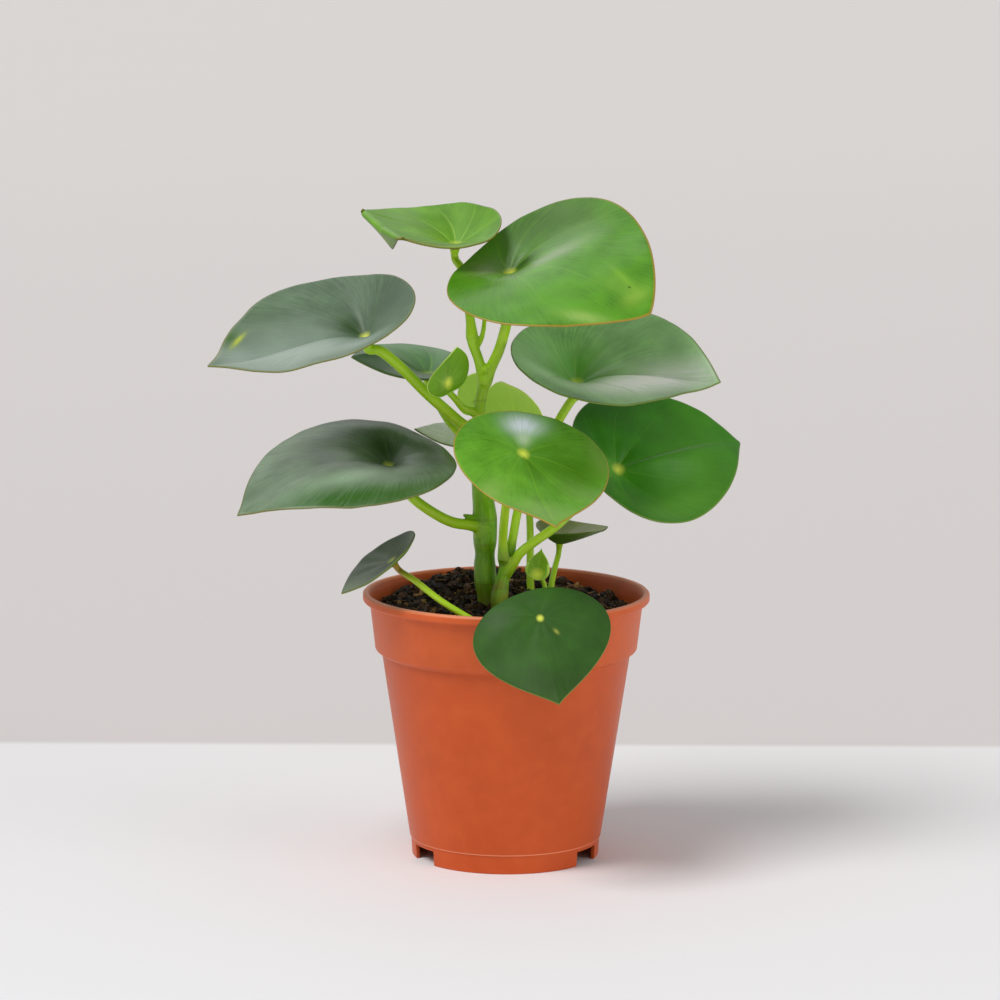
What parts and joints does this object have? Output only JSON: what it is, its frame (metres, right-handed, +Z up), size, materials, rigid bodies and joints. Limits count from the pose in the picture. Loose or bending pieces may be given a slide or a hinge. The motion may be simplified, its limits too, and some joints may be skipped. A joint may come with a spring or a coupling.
{
  "type": "potted raindrop peperomia",
  "caption": "Small potted house plant: glossy teardrop leaves on slender stalks from short stems, rooted in dark soil in a tapered terracotta-coloured plastic nursery pot.",
  "frame": {"origin": "on the pot's axis, at the ground under the middle of the pot", "axes": "+Z up along the pot's axis; -Y is the front of the plant as pictured; +X to the right seen from the front"},
  "size_m": [0.2211, 0.1511, 0.2767],
  "materials": {
    "terracotta_plastic": "satin moulded plastic",
    "dark_peat": "loose peat with bark crumbs",
    "stem_green": "smooth, slightly waxy",
    "stalk_green": "smooth, slightly waxy",
    "leaf_dark_green": "fleshy leaf with a soft gloss",
    "leaf_bright_green": "fleshy leaf with a soft gloss"
  },
  "bodies": {
    "root": {"pot": "terracotta_plastic", "soil": "dark_peat", "main_stem": "stem_green", "side_shoot": "stem_green", "blade_top_left": "leaf_bright_green", "stalk_top_left": "stalk_green", "blade_top_right": "leaf_bright_green", "stalk_top_right": "stalk_green", "blade_left_upper": "leaf_dark_green", "stalk_left_upper": "stalk_green", "blade_left_lower": "leaf_dark_green", "stalk_left_lower": "stalk_green", "blade_right_upper": "leaf_dark_green", "stalk_right_upper": "stalk_green", "blade_right_lower": "leaf_dark_green", "stalk_right_lower": "stalk_green", "blade_centre": "leaf_bright_green", "stalk_centre": "stalk_green", "blade_hanging_front": "leaf_dark_green", "stalk_hanging_front": "stalk_green", "blade_small_left": "leaf_dark_green", "stalk_small_left": "stalk_green", "blade_back_left": "leaf_dark_green", "stalk_back_left": "stalk_green", "blade_young_cupped": "leaf_bright_green", "stalk_young_cupped": "stalk_green", "blade_behind_stem": "leaf_bright_green", "stalk_behind_stem": "stalk_green", "blade_behind_centre": "leaf_bright_green", "stalk_behind_centre": "stalk_green", "blade_small_right": "leaf_dark_green", "stalk_small_right": "stalk_green", "blade_back_middle": "leaf_dark_green", "stalk_back_middle": "stalk_green", "blade_young_top": "leaf_bright_green", "stalk_young_top": "stalk_green", "blade_sprout": "leaf_bright_green", "stalk_sprout": "stalk_green"}
  },
  "joints": []
}
